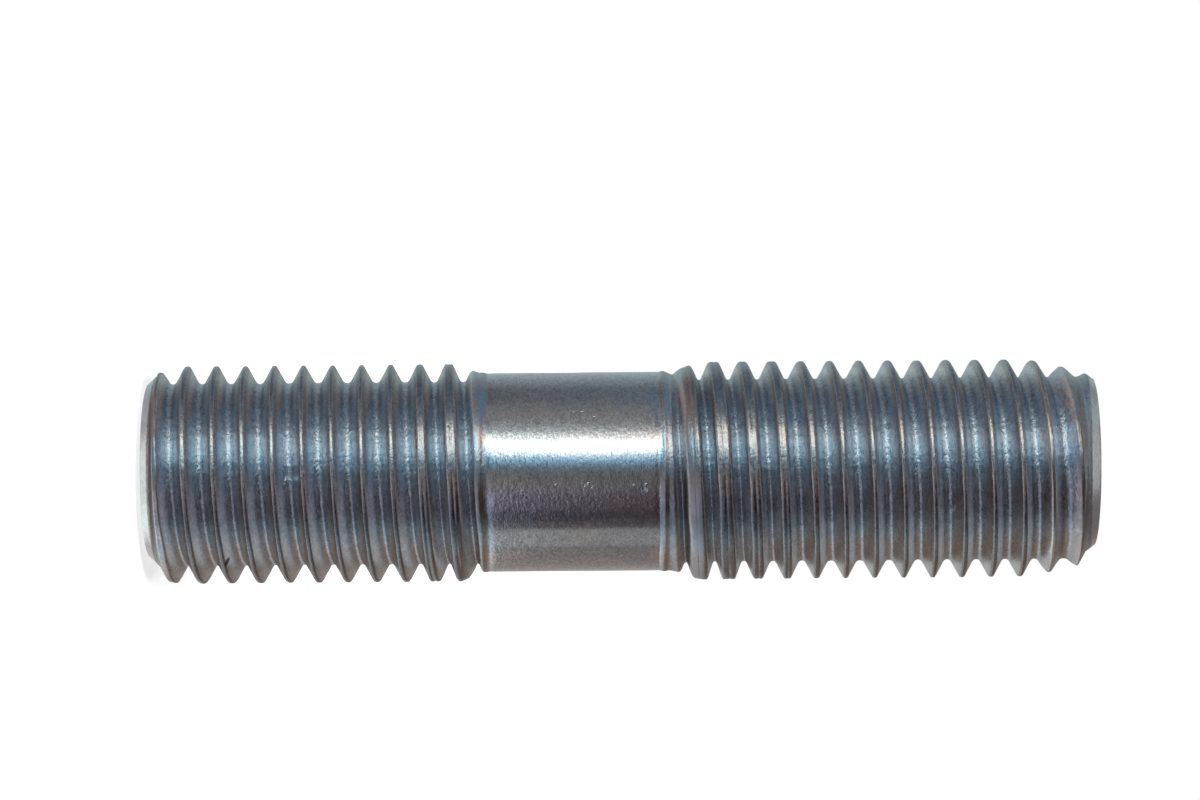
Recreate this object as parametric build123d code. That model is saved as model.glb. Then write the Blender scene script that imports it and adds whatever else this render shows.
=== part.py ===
from build123d import *
import math
import os

# A double-ended stud bolt, turned and thread-rolled from one steel bar.
# It stands on its short-thread (tap) end: +Z runs along the axis towards the
# long-thread (nut) end, and the origin is the centre of the lower end face.
# The threads are 5/16 inch, 24 to the inch (UNF), right-hand. Each threaded
# stretch is a plain cylinder of the thread's major diameter here, with its
# real end chamfer and its run-out cone into the plain shank.

# ---- driving dimensions, millimetres ----
INCH = 25.4
THREAD_MAJOR_D = 5 / 16 * INCH              # 7.9375
THREAD_PITCH = INCH / 24                    # 1.0583
STUD_LENGTH = 34.65                         # end to end: nominal 1-3/8 inch, as made

# rolled thread: the bar before rolling has the pitch diameter
THREAD_PITCH_D = THREAD_MAJOR_D - 0.6495 * THREAD_PITCH      # 7.250
SHANK_D = THREAD_PITCH_D                    # plain middle, left as the bar was

# tap end (short thread), measured up from its end face at z = 0
TAP_FACE_D = 6.30                           # end face, inside the chamfer
TAP_CHAMFER_H = 1.05                        # axial height of the chamfer
TAP_THREAD_END = 11.75                      # last full crest
TAP_RUNOUT_H = 0.65                         # run-out cone down to the shank

# nut end (long thread), measured down from its end face at z = STUD_LENGTH
NUT_FACE_D = 6.00
NUT_CHAMFER_H = 1.45
NUT_THREAD_START = 19.35                    # first full crest above the shank
NUT_RUNOUT_H = 0.55

EDGE_BREAK = 0.12                           # rounding where face meets chamfer

# ---- turned section, in the XZ plane: (radius, height) ----
R_MAJOR = THREAD_MAJOR_D / 2
R_SHANK = SHANK_D / 2
section = [
    (0.0, 0.0),
    (TAP_FACE_D / 2, 0.0),
    (R_MAJOR, TAP_CHAMFER_H),
    (R_MAJOR, TAP_THREAD_END),
    (R_SHANK, TAP_THREAD_END + TAP_RUNOUT_H),
    (R_SHANK, NUT_THREAD_START - NUT_RUNOUT_H),
    (R_MAJOR, NUT_THREAD_START),
    (R_MAJOR, STUD_LENGTH - NUT_CHAMFER_H),
    (NUT_FACE_D / 2, STUD_LENGTH),
    (0.0, STUD_LENGTH),
]

with BuildPart() as stud:
    with BuildSketch(Plane.XZ) as half:
        with BuildLine():
            Polyline(*section, close=True)
        make_face()
        # softened corner between each end face and its chamfer
        corners = [
            v for v in half.vertices()
            if v.X > 1.0 and (abs(v.Y) < 1e-6 or abs(v.Y - STUD_LENGTH) < 1e-6)
        ]
        fillet(corners, radius=EDGE_BREAK)
    revolve(axis=Axis.Z)

stud_bolt = stud.part
stud_bolt.label = "stud_bolt"

os.makedirs("parts", exist_ok=True)
export_step(stud_bolt, "parts/stud_bolt.step")

box = stud_bolt.bounding_box()
print("solids", len(stud_bolt.solids()))
print("volume mm3", round(stud_bolt.volume, 2))
print("box", box.min, box.max)
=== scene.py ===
import math

import bpy
import numpy as np
from mathutils import Matrix, Vector

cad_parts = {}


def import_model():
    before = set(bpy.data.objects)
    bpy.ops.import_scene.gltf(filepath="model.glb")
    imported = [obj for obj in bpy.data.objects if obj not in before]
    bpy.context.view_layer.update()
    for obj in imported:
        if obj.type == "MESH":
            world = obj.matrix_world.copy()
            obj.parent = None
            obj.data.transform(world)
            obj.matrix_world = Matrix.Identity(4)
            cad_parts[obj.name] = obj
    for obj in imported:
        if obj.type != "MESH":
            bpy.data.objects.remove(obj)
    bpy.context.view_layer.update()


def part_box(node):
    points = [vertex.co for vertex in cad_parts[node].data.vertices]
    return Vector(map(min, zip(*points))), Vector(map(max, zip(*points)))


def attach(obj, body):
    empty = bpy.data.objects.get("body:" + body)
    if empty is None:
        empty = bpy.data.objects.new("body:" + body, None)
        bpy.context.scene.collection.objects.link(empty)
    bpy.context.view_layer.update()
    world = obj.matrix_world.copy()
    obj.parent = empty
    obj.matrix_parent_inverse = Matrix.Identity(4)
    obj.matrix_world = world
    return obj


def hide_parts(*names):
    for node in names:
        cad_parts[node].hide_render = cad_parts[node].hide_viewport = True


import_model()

BOX_MIN, BOX_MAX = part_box("stud_bolt")
LENGTH = (BOX_MAX[2] - BOX_MIN[2]) * 1000.0      # mm
R_MAJOR = (BOX_MAX[0] - BOX_MIN[0]) * 500.0      # mm
MM = 0.001
SEED = 24

# ------------------------------------------------------------------ sizes, mm
PITCH = 25.4 / 24
R_SHANK = R_MAJOR - 0.6495 * PITCH / 2
R_ROOT = R_MAJOR - 0.618 * PITCH
CREST_C = 0.039             # half width of a sharp crest's flat, in pitches
ROOT_R = 0.180              # root radius, in pitches
TAP_FACE_R = 3.11           # end face at the tap end, inside its chamfer
NUT_FACE_R = 3.03           # the same at the nut end
TAP_CREST_Z = -0.090        # height of a crest at angle 0, for each thread
NUT_CREST_Z = 0.040


# --------------------------------------------------------- smooth value noise
class Noise:
    """Smooth random values on a lattice in (angle, height), periodic in angle."""

    def __init__(self, around, step_mm, seed):
        self.around = around
        self.step = step_mm
        rows = int(LENGTH / step_mm) + 12
        self.v = np.random.default_rng(seed).uniform(-1, 1, (rows, around))

    def __call__(self, theta, z):
        a = (theta / (2 * math.pi) % 1.0) * self.around
        b = z / self.step + 4.0
        i, j = np.floor(b).astype(int), np.floor(a).astype(int)
        fb, fa = b - i, a - j
        fb, fa = fb * fb * (3 - 2 * fb), fa * fa * (3 - 2 * fa)
        i = np.clip(i, 0, self.v.shape[0] - 2)
        j0, j1 = j % self.around, (j + 1) % self.around
        top = self.v[i, j0] * (1 - fa) + self.v[i, j1] * fa
        bot = self.v[i + 1, j0] * (1 - fa) + self.v[i + 1, j1] * fa
        return top * (1 - fb) + bot * fb


def smoothstep(a, b, x):
    t = np.clip((x - a) / (b - a), 0, 1)
    return t * t * (3 - 2 * t)


def smooth_min(a, b, k):
    h = np.clip(0.5 + 0.5 * (b - a) / k, 0, 1)
    return b * (1 - h) + a * h - k * h * (1 - h)


def depth_below_crest(x, flat):
    """Depth of the rolled thread form under its crest, in pitches.

    x is the distance from the crest's middle (0 to 0.5) and flat the half width of the crest's flat.
    A crest with a wide flat has the same groove depth, steeper sides and rounder corners.
    """
    t = math.sqrt(3.0)
    x = 0.5 - (0.5 - x) * (0.5 - CREST_C) / (0.5 - flat)
    round_off = 0.055 + 0.30 * np.clip(flat - 0.06, 0, 0.2)
    d = -smooth_min(-t * (x - CREST_C), 0.0 * x, round_off)
    root_depth = (0.5 - CREST_C) * t - ROOT_R
    v = np.clip(0.5 - x, 0, 0.866 * ROOT_R)
    root = root_depth - ROOT_R + np.sqrt(ROOT_R ** 2 - v ** 2)
    return np.where(0.5 - x < 0.866 * ROOT_R, root, d)


wave_a = Noise(18, 1.3, SEED + 1)
wave_b = Noise(60, 0.35, SEED + 2)
crest_n = Noise(46, 0.53, SEED + 3)
ends_n = Noise(14, 0.8, SEED + 4)
root_n = Noise(90, 0.22, SEED + 5)
flat_n = Noise(22, 1.1, SEED + 6)


def crest_z(z):
    return np.where(z < LENGTH * 0.45, TAP_CREST_Z, NUT_CREST_Z)


# half width of the crest flats along the stud: wide where the die ran out beside the shank
FLAT_Z = [0.0, 1.2, 2.2, 8.6, 9.4, 10.2, 11.2, 12.6, 18.6, 19.85, 20.9, 21.95, 23.0, 24.1, 25.5, 31.5, 34.0]
FLAT_W = [0.13, 0.095, 0.064, 0.056, 0.066, 0.135, 0.18, 0.20, 0.25, 0.245, 0.23, 0.175, 0.13, 0.08, 0.058, 0.058, 0.06]


def tap_end(theta, part=1.0):
    """Height of the tap end face, cut a little obliquely; part is the distance from the axis over the rim's."""
    return 0.065 * (1 + part * np.cos(theta - 1.5 * math.pi))


def nut_end(theta, part=1.0):
    """The same for the nut end."""
    return LENGTH - 0.12 * (1 + part * np.cos(theta - 1.5 * math.pi))


def radius(theta, z):
    """The stud's radius in mm at an angle and a height."""
    turn = theta / (2 * math.pi)
    phase = (z - crest_z(z)) / PITCH - turn
    x = np.abs((phase + 0.5) % 1.0 - 0.5)
    flat = np.interp(z, FLAT_Z, FLAT_W)
    flat = flat * (1 - 0.28 * np.clip(flat - 0.06, 0, 0.1) / 0.1 * np.maximum(np.cos(theta - math.pi), 0))
    flat = flat * (1 + 0.15 * flat_n(theta, z))
    # the thread form about the pitch radius; the first and last turns did not fill
    form = R_MAJOR - PITCH * depth_below_crest(x, flat)
    fill = np.interp(nut_end(theta) - z, [0.0, 0.33, 1.28, 2.1, 2.6, 3.2], [0.22, 0.31, 0.58, 0.88, 0.98, 1.0])
    fill = fill * np.interp(z, [0.0, 0.44, 0.7, 1.46], [0.5, 0.67, 0.84, 1.0])
    fill = fill * (1 - 0.06 * (1 - smoothstep(0.9, 1.0, fill)) * crest_n(theta, z))
    h = R_ROOT + (form - R_ROOT) * fill - R_SHANK
    up, down = np.maximum(h, 0), np.minimum(h, 0)
    # run-outs beside the plain shank
    wob = 0.05 * ends_n(theta, z)
    tap_root = 1 - smoothstep(12.00 + wob, 12.50 + wob, z)
    tap_crest = (1 - smoothstep(11.35, 12.45, z)) ** 1.5
    nut_root = smoothstep(18.82 + wob, 19.75 + wob, z)
    nut_crest = smoothstep(18.9, 20.3, z) ** 1.1
    tap_side = z < LENGTH * 0.45
    root = np.where(tap_side, tap_root, nut_root)
    crest = np.where(tap_side, tap_crest, nut_crest)
    # crests that are not quite filled, and uneven along the helix
    worn = 1 - smoothstep(0.4, 3.2, z)
    full = 1 - (0.05 + 0.10 * worn) * np.maximum(crest_n(theta, z), 0)
    r = R_SHANK + up * crest * full + down * root
    # a fine seam left in the middle of the crests that did not close
    seam = np.clip((flat - 0.09) / 0.06, 0, 1) * np.exp(-(x / 0.035) ** 2)
    r = r - 0.022 * seam * crest * (0.6 + 0.5 * crest_n(theta, z))
    # roots take the die's texture
    r = r + 0.010 * root_n(theta, z) * np.clip((x - 0.30) / 0.15, 0, 1) * root
    # raised lips where the grooves meet the shank
    lip = 0.030 * np.exp(-((z - 12.26 - wob) / 0.10) ** 2) - 0.004 * np.exp(-((z - 12.50 - wob) / 0.12) ** 2)
    lip = lip + 0.034 * np.exp(-((z - 18.84 - wob) / 0.09) ** 2) - 0.003 * np.exp(-((z - 18.62 - wob) / 0.11) ** 2)
    r = r + lip
    # end chamfers, both a little off centre
    tap = TAP_FACE_R + 0.19 * np.cos(theta - math.pi) + np.interp(z - tap_end(theta), [0.0, 0.36, 0.70, 3.0], [0.0, 0.35, 1.2, 9.0])
    nut = NUT_FACE_R + 0.28 * np.cos(theta - 0.75 * math.pi) + np.interp(nut_end(theta) - z, [0.0, 0.35, 0.75, 3.0], [0.0, 0.26, 0.95, 6.0])
    r = smooth_min(r, tap + 0.02 * ends_n(theta, z), 0.05)
    r = smooth_min(r, nut + 0.015 * ends_n(theta, z), 0.05)
    # slight unevenness left by rolling
    threaded = np.clip(root + crest, 0, 1)
    r = r + (0.0030 * wave_a(theta, z) + 0.0018 * wave_b(theta, z)) * (0.15 + 0.85 * threaded)
    return np.minimum(r, R_MAJOR)


# ------------------------------------------------------------------ stud mesh
def stud_mesh():
    phases = np.array(sorted(
        [0.0, 0.5]
        + [s * p for p in (0.02, 0.04, 0.062, 0.086, 0.12, 0.165, 0.215, 0.27, 0.33, 0.375, 0.42, 0.46) for s in (-1, 1)]
    ))
    phases = (phases + 1.0) % 1.0
    phases.sort()
    n, m = len(phases), 108
    turns = int(math.ceil(LENGTH / PITCH)) + 3
    s = np.concatenate([(k + phases) for k in range(turns)]) * PITCH + TAP_CREST_Z - 2 * PITCH
    rows = len(s)
    theta = 2 * math.pi * np.arange(m) / m
    T, S = np.meshgrid(theta, s)
    Z = S + PITCH * T / (2 * math.pi)
    # the two threads were rolled apart, so their crests are out of step; the shank takes it up
    Z = Z + (NUT_CREST_Z - TAP_CREST_Z) * smoothstep(13.0, 18.2, Z)
    # a close pair of edges at each end keeps the rim crisp
    edge, snap = 0.030, 0.012
    lo, hi = tap_end(T) + edge, nut_end(T) - edge
    low, high = Z < lo + snap, Z > hi - snap
    Z = np.clip(Z, lo, hi)
    R = radius(T, Z)
    ids = np.full((rows, m), -1, int)
    co = []
    inside = ~(low | high)
    count = int(inside.sum())
    ids[inside] = np.arange(count)
    xyz = np.stack([R * np.cos(T), R * np.sin(T), Z], -1)
    co.append(xyz[inside])
    # one vertex for each column at each end
    r0, r1 = radius(theta, tap_end(theta) + edge), radius(theta, nut_end(theta) - edge)
    bottom = count + np.arange(m)
    top = count + m + np.arange(m)
    co.append(np.stack([r0 * np.cos(theta), r0 * np.sin(theta), tap_end(theta) + edge], -1))
    co.append(np.stack([r1 * np.cos(theta), r1 * np.sin(theta), nut_end(theta) - edge], -1))
    for j in range(m):
        ids[low[:, j], j] = bottom[j]
        ids[high[:, j], j] = top[j]
    faces = []
    for i in range(rows - 1):
        for j in range(m):
            if j < m - 1:
                q = (ids[i, j], ids[i, j + 1], ids[i + 1, j + 1], ids[i + 1, j])
            else:
                if i + 1 + n >= rows:
                    continue
                q = (ids[i, j], ids[i + n, 0], ids[i + 1 + n, 0], ids[i + 1, j])
            u = []
            for a in q:
                if a not in u:
                    u.append(a)
            if len(u) >= 3:
                faces.append(tuple(int(a) for a in u))
    # end faces, as rings that fall slightly towards the middle, as a cropped and rolled bar has them
    base = count + 2 * m
    rings = (0.997, 0.990, 0.978, 0.955, 0.9, 0.8, 0.66, 0.5, 0.34, 0.18)
    for end, loop, rim, cut, way in ((0, bottom, r0, tap_end, 1.0), (1, top, r1, nut_end, -1.0)):
        prev = loop
        for k, f in enumerate(rings):
            rr = rim * f
            rad = rr / rim.max()
            dish = 0.10 * (1 - smoothstep(0.25, 0.93, rad)) + 0.004 * np.sin(40 * rad + 3 * end)
            dish = np.maximum(dish * (1 - smoothstep(0.955, 1.0, f)), 0) + (0.010 if k == 0 else 0.001 if k == 1 else 0.0)
            zz = cut(theta, f) + way * dish
            co.append(np.stack([rr * np.cos(theta), rr * np.sin(theta), zz], -1))
            ring = base + np.arange(m)
            base += m
            for j in range(m):
                a, b, c, d = prev[j], prev[(j + 1) % m], ring[(j + 1) % m], ring[j]
                f4 = (a, d, c, b) if end == 0 else (a, b, c, d)
                faces.append(tuple(int(x) for x in f4))
            prev = ring
        co.append(np.array([[0, 0, float(cut(0.0, 0.0)) + way * 0.10]]))
        mid = base
        base += 1
        for j in range(m):
            a, b = prev[j], prev[(j + 1) % m]
            faces.append((int(a), int(mid), int(b)) if end == 0 else (int(a), int(b), int(mid)))
    co = np.concatenate(co) * MM
    me = bpy.data.meshes.new("stud_bolt_body")
    me.from_pydata(co.tolist(), [], faces)
    me.validate()
    me.update()
    for p in me.polygons:
        p.use_smooth = True
    return me


# ------------------------------------------------------------------ materials
def new_nodes(name):
    m = bpy.data.materials.new(name)
    m.use_nodes = True
    nt = m.node_tree
    nt.nodes.clear()
    return m, nt


def add(nt, kind, **props):
    n = nt.nodes.new(kind)
    for k, v in props.items():
        setattr(n, k, v)
    return n


def math_node(nt, op, a, b=None, c=None, clamp=False):
    n = add(nt, "ShaderNodeMath", operation=op, use_clamp=clamp)
    for i, v in enumerate((a, b, c)):
        if v is None:
            continue
        if isinstance(v, (int, float)):
            n.inputs[i].default_value = v
        else:
            nt.links.new(v, n.inputs[i])
    return n.outputs[0]


def map_range(nt, value, a, b, c, d, smooth=False):
    n = add(nt, "ShaderNodeMapRange", interpolation_type="SMOOTHSTEP" if smooth else "LINEAR")
    nt.links.new(value, n.inputs["Value"])
    for k, v in (("From Min", a), ("From Max", b), ("To Min", c), ("To Max", d)):
        n.inputs[k].default_value = v
    return n.outputs["Result"]


def noise(nt, vec, scale, detail=2.0, rough=0.5, distortion=0.0):
    n = add(nt, "ShaderNodeTexNoise", noise_dimensions="3D")
    nt.links.new(vec, n.inputs["Vector"])
    n.inputs["Scale"].default_value = scale
    n.inputs["Detail"].default_value = detail
    n.inputs["Roughness"].default_value = rough
    n.inputs["Distortion"].default_value = distortion
    return n.outputs["Fac"]


def mix_color(nt, fac, a, b, blend="MIX"):
    n = add(nt, "ShaderNodeMix", data_type="RGBA", blend_type=blend)
    for key, v in (("Factor", fac), ("A", a), ("B", b)):
        if hasattr(v, "is_output"):
            nt.links.new(v, n.inputs[key])
        else:
            n.inputs[key].default_value = v
    return n.outputs["Result"]


def bump(nt, height, distance, strength=1.0, normal=None):
    n = add(nt, "ShaderNodeBump")
    if hasattr(strength, "is_output"):
        nt.links.new(strength, n.inputs["Strength"])
    else:
        n.inputs["Strength"].default_value = strength
    n.inputs["Distance"].default_value = distance
    nt.links.new(height, n.inputs["Height"])
    if normal is not None:
        nt.links.new(normal, n.inputs["Normal"])
    return n.outputs["Normal"]


def mix_value(nt, fac, a, b):
    n = add(nt, "ShaderNodeMix", data_type="FLOAT")
    for key, v in (("Factor", fac), ("A", a), ("B", b)):
        if hasattr(v, "is_output"):
            nt.links.new(v, n.inputs[key])
        else:
            n.inputs[key].default_value = v
    return n.outputs["Result"]


# small handling marks: (angle in degrees, height mm, size mm, depth sign)
MARKS = [
    (280.7, 13.65, 0.075, -1), (279.2, 13.74, 0.055, 1), (281.6, 13.83, 0.050, -1), (276.2, 14.95, 0.050, 1),
    (276.6, 15.97, 0.070, -1), (275.6, 16.10, 0.060, 1), (277.3, 16.22, 0.045, -1), (278.0, 16.95, 0.050, 1),
    (276.2, 17.70, 0.055, -1), (278.9, 18.08, 0.090, -1), (276.4, 18.14, 0.070, 1), (280.1, 18.20, 0.055, 1),
    (277.6, 18.62, 0.060, -1), (232.0, 15.90, 0.060, 1), (236.5, 16.30, 0.055, -1), (233.0, 15.60, 0.045, -1),
    (70.0, 15.00, 0.090, -1), (110.0, 17.20, 0.070, -1), (20.0, 14.20, 0.080, 1), (160.0, 16.40, 0.070, -1),
]


# nicks on the threads: (angle in degrees, height mm, radius mm, size mm)
NICKS = [
    (272.8, 5.41, 3.36, 0.16), (274.6, 5.30, 3.40, 0.07), (270.4, 5.55, 3.38, 0.08), (270.0, 5.94, 3.90, 0.10),
    (293.8, 29.03, 3.40, 0.15), (292.2, 29.12, 3.44, 0.08), (238.5, 7.00, 3.90, 0.09), (223.0, 28.57, 3.55, 0.09),
    (226.0, 28.60, 3.50, 0.07), (217.8, 29.56, 3.60, 0.08), (215.3, 30.60, 3.70, 0.09), (277.0, 7.95, 3.40, 0.08),
    (283.0, 0.72, 3.58, 0.13), (277.5, 0.74, 3.60, 0.08), (262.0, 0.70, 3.56, 0.07), (280.0, 1.74, 3.85, 0.09),
    (283.5, 2.55, 3.42, 0.07), (288.0, 3.55, 3.86, 0.07), (281.0, 4.75, 3.44, 0.06), (286.0, 8.15, 3.86, 0.07),
]


def zinc():
    m, nt = new_nodes("zinc_plate")
    L = nt.links
    coord = add(nt, "ShaderNodeTexCoord")
    mm = add(nt, "ShaderNodeMapping", vector_type="POINT")   # object coordinates in millimetres
    mm.inputs["Scale"].default_value = (1000, 1000, 1000)
    L.new(coord.outputs["Object"], mm.inputs["Vector"])
    p = mm.outputs["Vector"]
    short = add(nt, "ShaderNodeMapping", vector_type="POINT")   # the same, with marks shorter along the stud
    short.inputs["Scale"].default_value = (1000, 1000, 1700)
    L.new(coord.outputs["Object"], short.inputs["Vector"])
    ps = short.outputs["Vector"]

    cloud = noise(nt, p, 0.9, 3, 0.6)
    patch = noise(nt, p, 2.4, 4, 0.6)
    mottle = noise(nt, ps, 4.6, 3, 0.55)
    grain = noise(nt, ps, 10.0, 2, 0.55)
    fine = noise(nt, p, 28.0, 2, 0.5)

    # height along the stud and distance from its axis tell shank, crest and root apart
    xyz = add(nt, "ShaderNodeSeparateXYZ")
    L.new(p, xyz.inputs[0])
    z = xyz.outputs["Z"]
    flat = add(nt, "ShaderNodeCombineXYZ")
    L.new(xyz.outputs["X"], flat.inputs["X"])
    L.new(xyz.outputs["Y"], flat.inputs["Y"])
    rad = add(nt, "ShaderNodeVectorMath", operation="LENGTH")
    L.new(flat.outputs[0], rad.inputs[0])
    rho = math_node(nt, "MULTIPLY_ADD", mottle, 0.12, math_node(nt, "ADD", rad.outputs["Value"], -0.06))
    plain = math_node(nt, "MULTIPLY", map_range(nt, z, 12.38, 12.56, 0, 1, smooth=True),
                      map_range(nt, z, 18.78, 18.62, 0, 1, smooth=True))
    rolled = math_node(nt, "SUBTRACT", 1.0, plain)
    crest = math_node(nt, "MULTIPLY", map_range(nt, rad.outputs["Value"], 3.86, 3.93, 0, 1, smooth=True), rolled)
    root = math_node(nt, "MULTIPLY", map_range(nt, rho, 3.40, 3.62, 1, 0, smooth=True), rolled)

    # bright zinc plate: neutral with faint warm and bluish clouds of its own
    ramp = add(nt, "ShaderNodeValToRGB")
    L.new(map_range(nt, cloud, 0.34, 0.66, 0, 1), ramp.inputs["Fac"])
    e = ramp.color_ramp.elements
    e[0].position, e[0].color = 0.0, (0.67, 0.69, 0.71, 1)
    e[1].position, e[1].color = 1.0, (0.74, 0.725, 0.71, 1)
    # painted reflection on the rolled thread: blue patches only on the lit side, between about X -2.9 and 1.2 mm, and a
    # warmer, lighter tint towards -X
    across = xyz.outputs["X"]
    lit_side = math_node(nt, "MULTIPLY", map_range(nt, across, 0.2, 1.2, 1, 0, smooth=True),
                         map_range(nt, across, -2.9, -2.0, 0.3, 1, smooth=True))
    painted_blue_reflection = math_node(nt, "MULTIPLY", lit_side, map_range(nt, noise(nt, p, 2.6, 4, 0.65), 0.40, 0.60, 0, 1))
    tint = mix_color(nt, painted_blue_reflection, mix_color(nt, map_range(nt, across, -2.5, -1.9, 1, 0, smooth=True), (0.84, 0.845, 0.86, 1), (0.91, 0.88, 0.86, 1)), (0.72, 0.835, 0.95, 1))
    base = mix_color(nt, plain, tint, ramp.outputs["Color"])
    # painted reflection: the roots are bluer on the lit side only
    base = mix_color(nt, root, base, mix_color(nt, lit_side, (0.62, 0.63, 0.65, 1), (0.66, 0.75, 0.82, 1)))
    # painted shade: a warm brown darkening on the crests' shoulders, stronger towards -X than towards +X
    shoulder = math_node(nt, "MULTIPLY", map_range(nt, rho, 3.70, 3.82, 0, 1, smooth=True), rolled)
    base = mix_color(nt, math_node(nt, "MULTIPLY", shoulder, map_range(nt, across, 0.0, 1.6, 0.8, 0.35, smooth=True)), base, (0.56, 0.51, 0.47, 1))
    # painted light on the crests: warm grey in the lit band, bluish towards -X, and dark towards +X as painted shade
    base = mix_color(nt, crest, base, mix_color(nt, map_range(nt, across, 0.1, 1.2, 0, 1, smooth=True), mix_color(nt, map_range(nt, across, -2.4, -1.5, 0, 1, smooth=True), (0.45, 0.48, 0.52, 1), (0.60, 0.585, 0.57, 1)), (0.33, 0.335, 0.35, 1)))
    shade = add(nt, "ShaderNodeValToRGB")
    L.new(map_range(nt, math_node(nt, "MULTIPLY_ADD", grain, 0.6, math_node(nt, "MULTIPLY", mottle, 0.4)),
                    0.36, 0.64, 0, 1), shade.inputs["Fac"])
    shade.color_ramp.elements[0].color = (0.56, 0.56, 0.565, 1)
    shade.color_ramp.elements[1].color = (1.0, 1.0, 1.0, 1)
    soft_shade = mix_color(nt, mix_value(nt, plain, 0.82, 1.0), (0.86, 0.86, 0.86, 1), shade.outputs["Color"])
    base = mix_color(nt, 1.0, base, soft_shade, "MULTIPLY")
    # the chamfers were cut before plating: bright and smooth at the tap end, greyer at the nut end
    rim_tap = map_range(nt, z, 0.42, 0.34, 0, 1, smooth=True)
    front = math_node(nt, "MAXIMUM", math_node(nt, "MULTIPLY", xyz.outputs["Y"], -1.0), 0.0)
    rim_nut = map_range(nt, math_node(nt, "MULTIPLY_ADD", front, 0.106, z), 34.34, 34.42, 0, 1, smooth=True)
    rim = math_node(nt, "MAXIMUM", rim_tap, rim_nut)
    base = mix_color(nt, rim, base, mix_color(nt, map_range(nt, mottle, 0.3, 0.7, 0, 1), (0.72, 0.725, 0.73, 1), (0.86, 0.86, 0.85, 1)))
    # painted shade: a dark brown patch on the camera's side (-Y) of the last turn at the nut end; the same dark brown
    # also lies as a band all round the first turn at the tap end
    last = math_node(nt, "MULTIPLY", map_range(nt, z, 33.42, 33.54, 0, 1, smooth=True), map_range(nt, z, 33.92, 33.84, 0, 1, smooth=True))
    last = math_node(nt, "MULTIPLY", math_node(nt, "MULTIPLY", last, map_range(nt, front, 1.0, 2.6, 0, 1, smooth=True)),
                     map_range(nt, mottle, 0.32, 0.62, 0.55, 1.0))
    first = math_node(nt, "MULTIPLY", map_range(nt, z, 0.36, 0.42, 0, 1, smooth=True), map_range(nt, z, 0.66, 0.58, 0, 1, smooth=True))
    base = mix_color(nt, math_node(nt, "MAXIMUM", last, first), base, (0.38, 0.345, 0.33, 1))

    # one dark pit in the plate, seen from outside at any depth of the thread
    a = math.radians(323.5)
    side = add(nt, "ShaderNodeVectorMath", operation="DOT_PRODUCT")
    L.new(p, side.inputs[0])
    side.inputs[1].default_value = (-math.sin(a), math.cos(a), 0)
    out = add(nt, "ShaderNodeVectorMath", operation="DOT_PRODUCT")
    L.new(p, out.inputs[0])
    out.inputs[1].default_value = (math.cos(a), math.sin(a), 0)
    up = math_node(nt, "ADD", z, -3.12)
    far = math_node(nt, "SQRT", math_node(nt, "ADD", math_node(nt, "MULTIPLY", side.outputs["Value"], math_node(nt, "MULTIPLY", side.outputs["Value"], 0.35)),
                                          math_node(nt, "MULTIPLY", up, up)))
    pit = math_node(nt, "MULTIPLY", map_range(nt, far, 0.11, 0.06, 0, 1, smooth=True), map_range(nt, out.outputs["Value"], 2.0, 3.0, 0, 1))
    base = mix_color(nt, pit, base, (0.06, 0.05, 0.055, 1))

    rough = mix_value(nt, root, map_range(nt, patch, 0.3, 0.7, 0.26, 0.36), map_range(nt, grain, 0.3, 0.7, 0.24, 0.38))
    rough = mix_value(nt, crest, rough, map_range(nt, mottle, 0.3, 0.7, 0.22, 0.36))
    # the last crests are rougher, where the metal did not fill the die
    tail = math_node(nt, "MULTIPLY", map_range(nt, z, 33.0, 33.4, 0, 1, smooth=True), 1.0)
    rough = mix_value(nt, tail, rough, map_range(nt, mottle, 0.3, 0.7, 0.26, 0.44))
    rough = mix_value(nt, rim, rough, 0.20)
    # painted shade: darker bands where the threads run out into the shank, darkest towards +X
    band_tap = math_node(nt, "MULTIPLY", map_range(nt, z, 11.95, 12.10, 0, 1, smooth=True), map_range(nt, z, 12.56, 12.40, 0, 1, smooth=True))
    band_nut = math_node(nt, "MULTIPLY", map_range(nt, z, 18.62, 18.76, 0, 1, smooth=True), map_range(nt, z, 20.28, 20.05, 0, 1, smooth=True))
    runout_painted_shade = math_node(nt, "MULTIPLY", math_node(nt, "MAXIMUM", band_tap, band_nut), map_range(nt, mottle, 0.3, 0.6, 0.5, 1.0))
    runout_painted_shade = math_node(nt, "MULTIPLY", runout_painted_shade, map_range(nt, across, -0.6, 0.8, 0.5, 1.0, smooth=True))
    base = mix_color(nt, runout_painted_shade, base, (0.34, 0.335, 0.34, 1))
    rough = mix_value(nt, plain, rough, map_range(nt, mottle, 0.3, 0.7, 0.04, 0.11))

    # the side towards +X was rolled smoother
    calm = map_range(nt, xyz.outputs["X"], 0.0, 2.2, 1.0, 0.42, smooth=True)
    nrm = bump(nt, math_node(nt, "MULTIPLY", mottle, calm), 0.000036, mix_value(nt, rim, mix_value(nt, plain, mix_value(nt, root, 0.38, 1.0), 0.11), 0.25))
    # the shank's upper side is a little coarser
    worn = math_node(nt, "MULTIPLY", map_range(nt, xyz.outputs["X"], -1.25, -1.6, 0, 1, smooth=True),
                     map_range(nt, xyz.outputs["X"], -3.3, -2.3, 0, 1, smooth=True))
    speck = mix_value(nt, plain, grain, noise(nt, p, 9.0, 2, 0.55))
    nrm = bump(nt, math_node(nt, "MULTIPLY", speck, calm), 0.000014, mix_value(nt, rim, mix_value(nt, plain, mix_value(nt, root, 0.62, 1.0), mix_value(nt, worn, 0.18, 0.46)), 0.45), nrm)
    nrm = bump(nt, fine, 0.000003, mix_value(nt, plain, mix_value(nt, root, 0.5, 1.0), 0.30), nrm)

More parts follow.
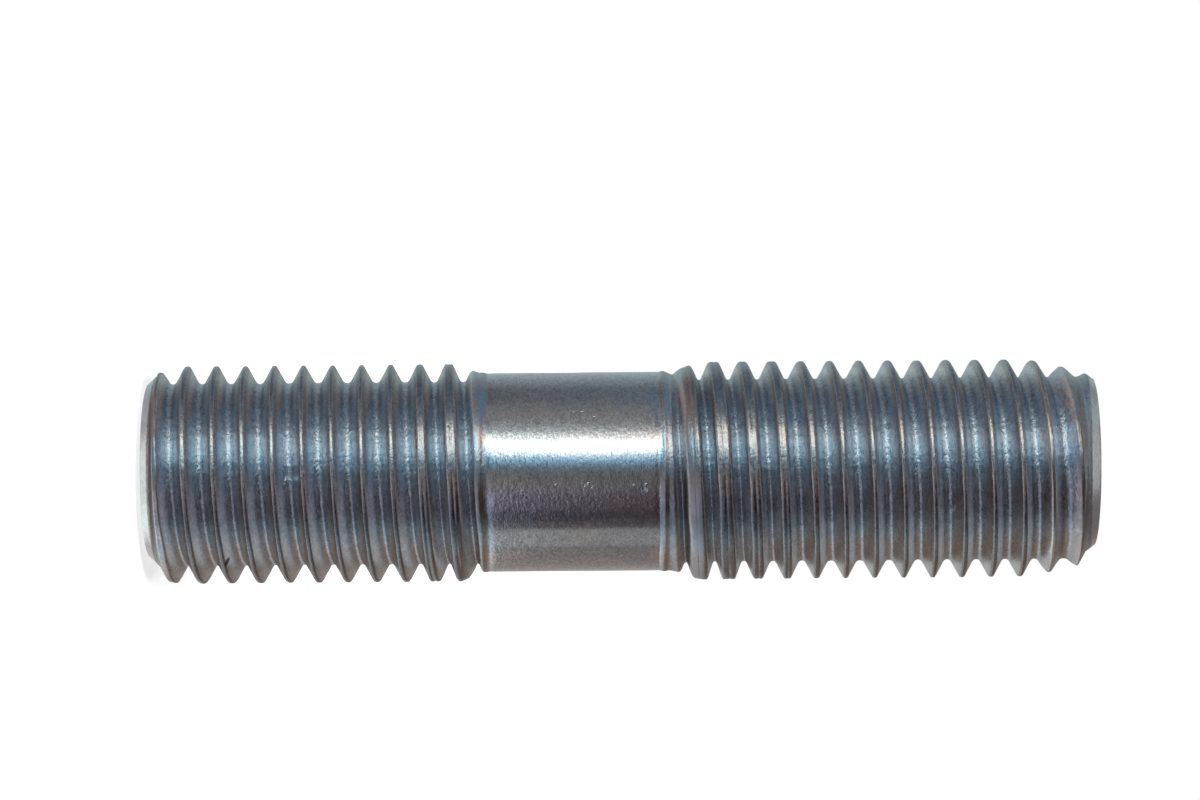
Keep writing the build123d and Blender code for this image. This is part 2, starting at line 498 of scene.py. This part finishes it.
    # the marks, as a sum of small bowls and bumps
    total = None
    for deg, h, size, sign in MARKS:
        a = math.radians(deg)
        n = add(nt, "ShaderNodeVectorMath", operation="DISTANCE")
        L.new(p, n.inputs[0])
        n.inputs[1].default_value = (R_SHANK * math.cos(a), R_SHANK * math.sin(a), h)
        d = math_node(nt, "MULTIPLY_ADD", grain, 0.12, math_node(nt, "ADD", n.outputs["Value"], -0.06))
        bowl = map_range(nt, d, 0.0, size, 1.0 * sign, 0.0, smooth=True)
        total = bowl if total is None else math_node(nt, "ADD", total, bowl)
    nrm = bump(nt, total, 0.000016, 1.0, nrm)
    total = None
    for deg, h, r, size in NICKS:
        a = math.radians(deg)
        n = add(nt, "ShaderNodeVectorMath", operation="DISTANCE")
        L.new(p, n.inputs[0])
        n.inputs[1].default_value = (r * math.cos(a), r * math.sin(a), h)
        d = math_node(nt, "MULTIPLY_ADD", grain, 0.20, math_node(nt, "ADD", n.outputs["Value"], -0.10))
        bowl = map_range(nt, d, 0.0, size, 1.0, 0.0, smooth=True)
        total = bowl if total is None else math_node(nt, "ADD", total, bowl)
    nrm = bump(nt, total, 0.000055, 1.0, nrm)

    bsdf = add(nt, "ShaderNodeBsdfPrincipled")
    # the tap end's chamfer carries a thin chalky film over part of its turn
    film = math_node(nt, "MULTIPLY", rim_tap, map_range(nt, xyz.outputs["X"], -0.6, -2.2, 0, 1, smooth=True))
    L.new(mix_value(nt, film, 1.0, 0.35), bsdf.inputs["Metallic"])
    L.new(base, bsdf.inputs["Base Color"])
    L.new(rough, bsdf.inputs["Roughness"])
    L.new(nrm, bsdf.inputs["Normal"])
    out = add(nt, "ShaderNodeOutputMaterial")
    L.new(bsdf.outputs["BSDF"], out.inputs["Surface"])
    return m


# -------------------------------------------------------------------- pieces
body = bpy.data.objects.new("stud_body", stud_mesh())
bpy.context.scene.collection.objects.link(body)
body.data.materials.append(zinc())
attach(body, "root")
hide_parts("stud_bolt")

# --------------------------------------------------------------------- stage
def floor():
    me = bpy.data.meshes.new("floor")
    s, z = 3.0, -0.00002
    me.from_pydata([(-s, -s, z), (s, -s, z), (s, s, z), (-s, s, z)], [], [(0, 1, 2, 3)])
    o = bpy.data.objects.new("floor", me)
    bpy.context.scene.collection.objects.link(o)
    m, nt = new_nodes("pale_floor")
    d = add(nt, "ShaderNodeBsdfDiffuse")
    d.inputs["Color"].default_value = (0.86, 0.86, 0.865, 1)
    glow = add(nt, "ShaderNodeEmission")
    glow.inputs["Color"].default_value = (1, 1, 1, 1)
    glow.inputs["Strength"].default_value = 0.62
    both = add(nt, "ShaderNodeAddShader")
    nt.links.new(d.outputs[0], both.inputs[0])
    nt.links.new(glow.outputs[0], both.inputs[1])
    out = add(nt, "ShaderNodeOutputMaterial")
    nt.links.new(both.outputs[0], out.inputs["Surface"])
    me.materials.append(m)
    o.visible_glossy = False
    o.visible_diffuse = False
    return o


floor()

# --------------------------------------------------------------------- world
# A soft studio round the stud. Angles are about the stud's axis, in degrees, from the
# camera's side (-Y) towards -X. Colours are in units of KEY.
KEY = 4.0
AROUND = [
    (-180, (0.47, 0.48, 0.48)),
    (-150, (0.39, 0.355, 0.34)),
    (-121, (0.292, 0.266, 0.256)),
    (-97, (0.245, 0.23, 0.235)),
    (-93, (0.335, 0.33, 0.33)),
    (-77, (0.345, 0.337, 0.335)),
    (-70, (0.33, 0.32, 0.315)),
    (-66, (0.135, 0.115, 0.125)),
    (-51, (0.066, 0.058, 0.069)),
    (-46, (0.085, 0.070, 0.082)),
    (-40, (0.120, 0.090, 0.108)),
    (-27, (0.137, 0.108, 0.130)),
    (-22, (0.165, 0.160, 0.175)),
    (-2, (0.180, 0.182, 0.198)),
    (6, (0.215, 0.29, 0.36)),
    (11, (0.32, 0.56, 0.77)),
    (15.5, (0.58, 0.95, 1.24)),
    (19.5, (1.1, 1.35, 1.5)),
    (24, (2.6, 2.7, 2.75)),
    (35, (2.6, 2.65, 2.7)),
    (39.4, (1.4, 1.43, 1.45)),
    (44.3, (0.90, 0.94, 0.96)),
    (50, (0.64, 0.655, 0.665)),
    (60, (0.40, 0.388, 0.382)),
    (76, (0.275, 0.26, 0.26)),
    (95, (0.176, 0.197, 0.223)),
    (112, (0.172, 0.20, 0.232)),
    (128, (0.275, 0.337, 0.39)),
    (142, (0.36, 0.44, 0.495)),
    (157, (0.41, 0.50, 0.56)),
    (180, (0.47, 0.48, 0.48)),
]

# The same towards the tap thread and towards the nut thread.
AROUND_TAP = [
    (-180, (0.569, 0.596, 0.578)),
    (-150, (0.523, 0.524, 0.521)),
    (-109, (0.847, 0.805, 0.801)),
    (-95, (0.688, 0.795, 0.895)),
    (-84, (0.649, 0.843, 1.016)),
    (-72, (0.431, 0.539, 0.657)),
    (-60, (0.257, 0.305, 0.403)),
    (-48, (0.236, 0.287, 0.403)),
    (-37, (0.399, 0.420, 0.569)),
    (-25, (0.405, 0.424, 0.536)),
    (-14, (0.372, 0.338, 0.333)),
    (3, (0.173, 0.172, 0.181)),
    (9, (0.115, 0.173, 0.218)),
    (15, (0.170, 0.314, 0.434)),
    (21, (0.314, 0.660, 0.917)),
    (26, (0.662, 1.228, 1.556)),
    (30, (1.819, 2.566, 2.789)),
    (39, (2.722, 3.165, 3.137)),
    (44, (1.352, 1.550, 1.509)),
    (50, (0.456, 0.552, 0.585)),
    (60, (0.213, 0.265, 0.297)),
    (76, (0.285, 0.280, 0.282)),
    (95, (0.133, 0.127, 0.145)),
    (112, (0.173, 0.149, 0.151)),
    (128, (0.285, 0.270, 0.254)),
    (142, (0.353, 0.447, 0.490)),
    (157, (0.428, 0.558, 0.607)),
    (180, (0.517, 0.596, 0.578)),
]
AROUND_NUT = [
    (-180, (0.413, 0.385, 0.357)),
    (-150, (0.241, 0.194, 0.171)),
    (-109, (0.377, 0.256, 0.188)),
    (-95, (0.402, 0.313, 0.253)),
    (-84, (0.361, 0.377, 0.364)),
    (-72, (0.211, 0.265, 0.284)),
    (-60, (0.083, 0.075, 0.068)),
    (-48, (0.046, 0.023, 0.016)),
    (-37, (0.050, 0.025, 0.017)),
    (-25, (0.052, 0.030, 0.019)),
    (-14, (0.117, 0.086, 0.063)),
    (3, (0.101, 0.106, 0.113)),
    (9, (0.066, 0.107, 0.147)),
    (15, (0.147, 0.250, 0.340)),
    (21, (0.413, 0.638, 0.758)),
    (26, (0.882, 1.070, 1.118)),
    (30, (2.142, 1.997, 1.749)),
    (39, (2.710, 2.045, 1.628)),
    (44, (1.352, 1.086, 0.931)),
    (50, (0.408, 0.401, 0.407)),
    (60, (0.157, 0.197, 0.242)),
    (76, (0.180, 0.249, 0.317)),
    (95, (0.097, 0.221, 0.374)),
    (112, (0.130, 0.206, 0.281)),
    (128, (0.250, 0.301, 0.318)),
    (142, (0.330, 0.416, 0.458)),
    (157, (0.356, 0.443, 0.476)),
    (180, (0.376, 0.385, 0.357)),
]

# The same beyond about 35 degrees of tilt towards the tap end and the nut end, and at their poles.
TO_TAP = [
    (-180, (0.163, 0.157, 0.149)),
    (-152, (0.200, 0.201, 0.191)),
    (-138, (0.967, 1.069, 1.052)),
    (-98, (1.132, 1.184, 1.152)),
    (-86, (0.561, 0.564, 0.618)),
    (-62, (0.620, 0.583, 0.663)),
    (-40, (0.671, 0.612, 0.706)),
    (-5, (0.350, 0.284, 0.281)),
    (14, (0.070, 0.149, 0.265)),
    (30, (0.074, 0.213, 0.473)),
    (46, (0.174, 0.341, 0.556)),
    (62, (0.436, 0.390, 0.387)),
    (86, (0.297, 0.199, 0.180)),
    (98, (0.540, 0.379, 0.337)),
    (138, (0.364, 0.386, 0.401)),
    (152, (0.163, 0.157, 0.149)),
    (180, (0.163, 0.157, 0.149)),
]
TO_NUT = [
    (-180, (0.095, 0.084, 0.074)),
    (-152, (0.101, 0.086, 0.076)),
    (-138, (0.155, 0.149, 0.151)),
    (-98, (0.169, 0.154, 0.163)),
    (-80, (0.187, 0.176, 0.183)),
    (-62, (0.138, 0.112, 0.112)),
    (-40, (0.087, 0.044, 0.033)),
    (-5, (0.080, 0.060, 0.062)),
    (14, (0.045, 0.088, 0.162)),
    (30, (0.055, 0.115, 0.228)),
    (46, (0.081, 0.131, 0.229)),
    (62, (0.235, 0.169, 0.195)),
    (86, (0.234, 0.221, 0.247)),
    (98, (0.417, 0.523, 0.567)),
    (138, (0.232, 0.233, 0.232)),
    (152, (0.090, 0.074, 0.065)),
    (180, (0.095, 0.084, 0.074)),
]
TAP_POLE = (0.84, 0.855, 0.86)
NUT_POLE = (0.43, 0.44, 0.455)


def ring(nt, t, stops):
    """Colour by angle round the stud."""
    ramp = add(nt, "ShaderNodeValToRGB")
    nt.links.new(t, ramp.inputs["Fac"])
    cr = ramp.color_ramp
    cr.interpolation = "LINEAR"
    stops = [(a / 360 + 0.5, tuple(c / KEY for c in col) + (1,)) for a, col in stops]
    cr.elements[0].position, cr.elements[0].color = stops[0]
    cr.elements[1].position, cr.elements[1].color = stops[-1]
    for pos, col in stops[1:-1]:
        cr.elements.new(pos).color = col
    return ramp.outputs["Color"]


def world():
    w = bpy.data.worlds.new("studio")
    bpy.context.scene.world = w
    w.use_nodes = True
    nt = w.node_tree
    nt.nodes.clear()
    L = nt.links
    coord = add(nt, "ShaderNodeTexCoord")
    xyz = add(nt, "ShaderNodeSeparateXYZ")
    L.new(coord.outputs["Generated"], xyz.inputs[0])
    nx = math_node(nt, "MULTIPLY", xyz.outputs["X"], -1.0)
    ny = math_node(nt, "MULTIPLY", xyz.outputs["Y"], -1.0)
    az = math_node(nt, "ARCTAN2", nx, ny)
    t = math_node(nt, "MULTIPLY_ADD", az, 1 / (2 * math.pi), 0.5)
    z = xyz.outputs["Z"]
    side = map_range(nt, z, -0.1, 0.1, 0, 1)
    ends = mix_color(nt, side, ring(nt, t, TO_TAP), ring(nt, t, TO_NUT))
    poles = mix_color(nt, side, tuple(c / KEY for c in TAP_POLE) + (1,), tuple(c / KEY for c in NUT_POLE) + (1,))
    tilt = math_node(nt, "ABSOLUTE", z)
    ends = mix_color(nt, map_range(nt, tilt, 0.90, 0.955, 0, 1, smooth=True), ends, poles)
    apart = mix_color(nt, map_range(nt, z, -0.01, 0.01, 0, 1), ring(nt, t, AROUND_TAP), ring(nt, t, AROUND_NUT))
    near = mix_color(nt, map_range(nt, tilt, 0.034, 0.050, 0, 1, smooth=True), ring(nt, t, AROUND), apart)
    col = mix_color(nt, map_range(nt, tilt, 0.40, 0.70, 0, 1, smooth=True), near, ends)
    studio = add(nt, "ShaderNodeBackground")
    L.new(col, studio.inputs["Color"])
    studio.inputs["Strength"].default_value = KEY
    plain = add(nt, "ShaderNodeBackground")
    plain.inputs["Color"].default_value = (1, 1, 1, 1)
    plain.inputs["Strength"].default_value = 1.0
    path = add(nt, "ShaderNodeLightPath")
    pick = add(nt, "ShaderNodeMixShader")
    L.new(path.outputs["Is Camera Ray"], pick.inputs["Fac"])
    L.new(studio.outputs[0], pick.inputs[1])
    L.new(plain.outputs[0], pick.inputs[2])
    out = add(nt, "ShaderNodeOutputWorld")
    L.new(pick.outputs[0], out.inputs["Surface"])


world()


def sun(name, source, angle, strength):
    """A broad soft light for the floor. The metal doesn't mirror it."""
    d = bpy.data.lights.new(name, "SUN")
    d.angle = math.radians(angle)
    d.energy = strength
    o = bpy.data.objects.new(name, d)
    bpy.context.scene.collection.objects.link(o)
    o.rotation_euler = Vector(source).to_track_quat("Z", "Y").to_euler()
    o.visible_glossy = False
    return o


sun("floor_light", (-0.12, -1.0, 1.15), 30, 2.2)

# -------------------------------------------------------------------- camera
DIST = 0.126
LENS = 27.4 * DIST * 1000 * 36 / 1200     # 27.4 pixels per mm at the stud, in a 1200 wide picture
TILT = math.radians(0.5)
PX = LENS / 36 * 1200            # focal length in pixels of a 1200 wide frame
SCALE = PX / (DIST * 1000)       # pixels per mm at the axis
cam_z = (600 - 147.5) / SCALE
drop = 71.5 / SCALE              # the axis lies this far under the picture's middle
cd = bpy.data.cameras.new("camera")
cd.lens = LENS
cd.sensor_width = 36
cd.clip_start = 0.005
cd.clip_end = 20
cam = bpy.data.objects.new("camera", cd)
bpy.context.scene.collection.objects.link(cam)
c, s = math.cos(TILT), math.sin(TILT)
right = Vector((s, 0, c))
upv = Vector((-c, 0, s))
back = right.cross(upv)
mat = Matrix((
    (right.x, upv.x, back.x, 0),
    (right.y, upv.y, back.y, 0),
    (right.z, upv.z, back.z, 0),
    (0, 0, 0, 1),
))
mat.translation = Vector((0, -DIST, cam_z * MM)) + upv * drop * MM
cam.matrix_world = mat
bpy.context.scene.camera = cam
bpy.context.scene.view_settings.view_transform = "Standard"
bpy.context.scene.view_settings.look = "None"
